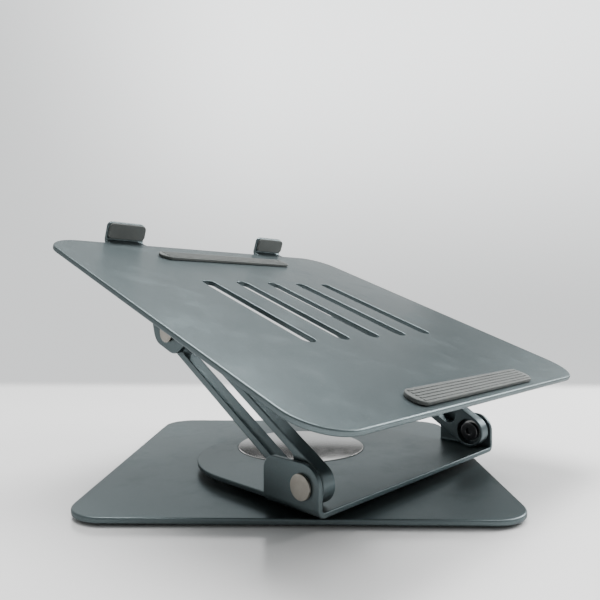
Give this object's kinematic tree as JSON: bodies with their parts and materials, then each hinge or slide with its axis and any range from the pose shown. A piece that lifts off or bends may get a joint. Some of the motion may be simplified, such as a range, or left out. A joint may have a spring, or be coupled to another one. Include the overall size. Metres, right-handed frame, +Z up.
{
  "type": "rotating laptop stand",
  "caption": "Adjustable laptop stand: a square base with a turntable, two slotted lift arms on friction hinges and a tilting tray with front hooks.",
  "frame": {"origin": "centre of the base pad's underside, on the desk, on the turntable's axis", "axes": "+Z up along the turntable's axis; X and Y along the square base's sides, -Y towards the viewer; at rest the upper part is turned 47.1 degrees about +Z"},
  "size_m": [0.3202, 0.3211, 0.1578],
  "materials": {
    "satin_metal": "slate grey fine-grained satin anodised sheet",
    "mirror_metal": "polished disc",
    "warm_nickel": "satin nickel plating",
    "steel": "plain bright steel",
    "dark_steel": "blackened steel",
    "black_plastic": "matte",
    "soft_grip": "matte charcoal silicone"
  },
  "bodies": {
    "base": {"base_plate": "satin_metal", "base_pad": "soft_grip", "lower_race": "steel", "lower_race_screw_1": "steel", "lower_race_screw_2": "steel", "lower_race_screw_3": "steel", "centre_pin": "steel", "centre_nut": "steel", "centre_bush": "black_plastic"},
    "swivel": {"swivel_plate": "satin_metal", "centre_disc": "mirror_metal", "upper_race": "steel", "upper_race_screw_1": "steel", "upper_race_screw_2": "steel", "upper_race_screw_3": "steel", "ball_cage": "black_plastic", "ball_1": "steel", "ball_2": "steel", "ball_3": "steel", "ball_4": "steel", "ball_5": "steel", "ball_6": "steel", "ball_7": "steel", "ball_8": "steel", "lower_pin_left": "warm_nickel", "lower_pin_right": "warm_nickel", "lower_screw_left": "dark_steel", "lower_screw_right": "dark_steel", "lower_washer_left": "black_plastic", "lower_washer_right": "black_plastic", "lower_spring_left": "steel", "lower_spring_right": "steel"},
    "arms": {"arm_left": "satin_metal", "arm_right": "satin_metal"},
    "tray": {"tray_plate": "satin_metal", "rear_pad": "soft_grip", "front_pad": "soft_grip", "hook_pad_left": "soft_grip", "hook_pad_right": "soft_grip", "bracket_left": "satin_metal", "bracket_right": "satin_metal", "bracket_screw_left_1": "dark_steel", "bracket_screw_left_2": "dark_steel", "bracket_screw_right_1": "dark_steel", "bracket_screw_right_2": "dark_steel", "upper_pin_left": "warm_nickel", "upper_pin_right": "warm_nickel", "upper_screw_left": "dark_steel", "upper_screw_right": "dark_steel", "upper_washer_left": "black_plastic", "upper_washer_right": "black_plastic", "upper_spring_left": "steel", "upper_spring_right": "steel"}
  },
  "joints": [
    {"name": "turntable", "type": "hinge", "parent": "base", "child": "swivel", "pos_m": [0, 0, 0.0057], "axis": [0, 0, 1], "continuous": true},
    {"name": "arm_lift", "type": "hinge", "parent": "swivel", "child": "arms", "pos_m": [0.0586, -0.05446, 0.0207], "axis": [0.6807, 0.7325, 0], "range_deg": [-11.5, 34.5]},
    {"name": "tray_tilt", "type": "hinge", "parent": "arms", "child": "tray", "pos_m": [-0.01947, 0.01809, 0.08601], "axis": [0.6807, 0.7325, 0], "range_deg": [-55, 5]}
  ]
}
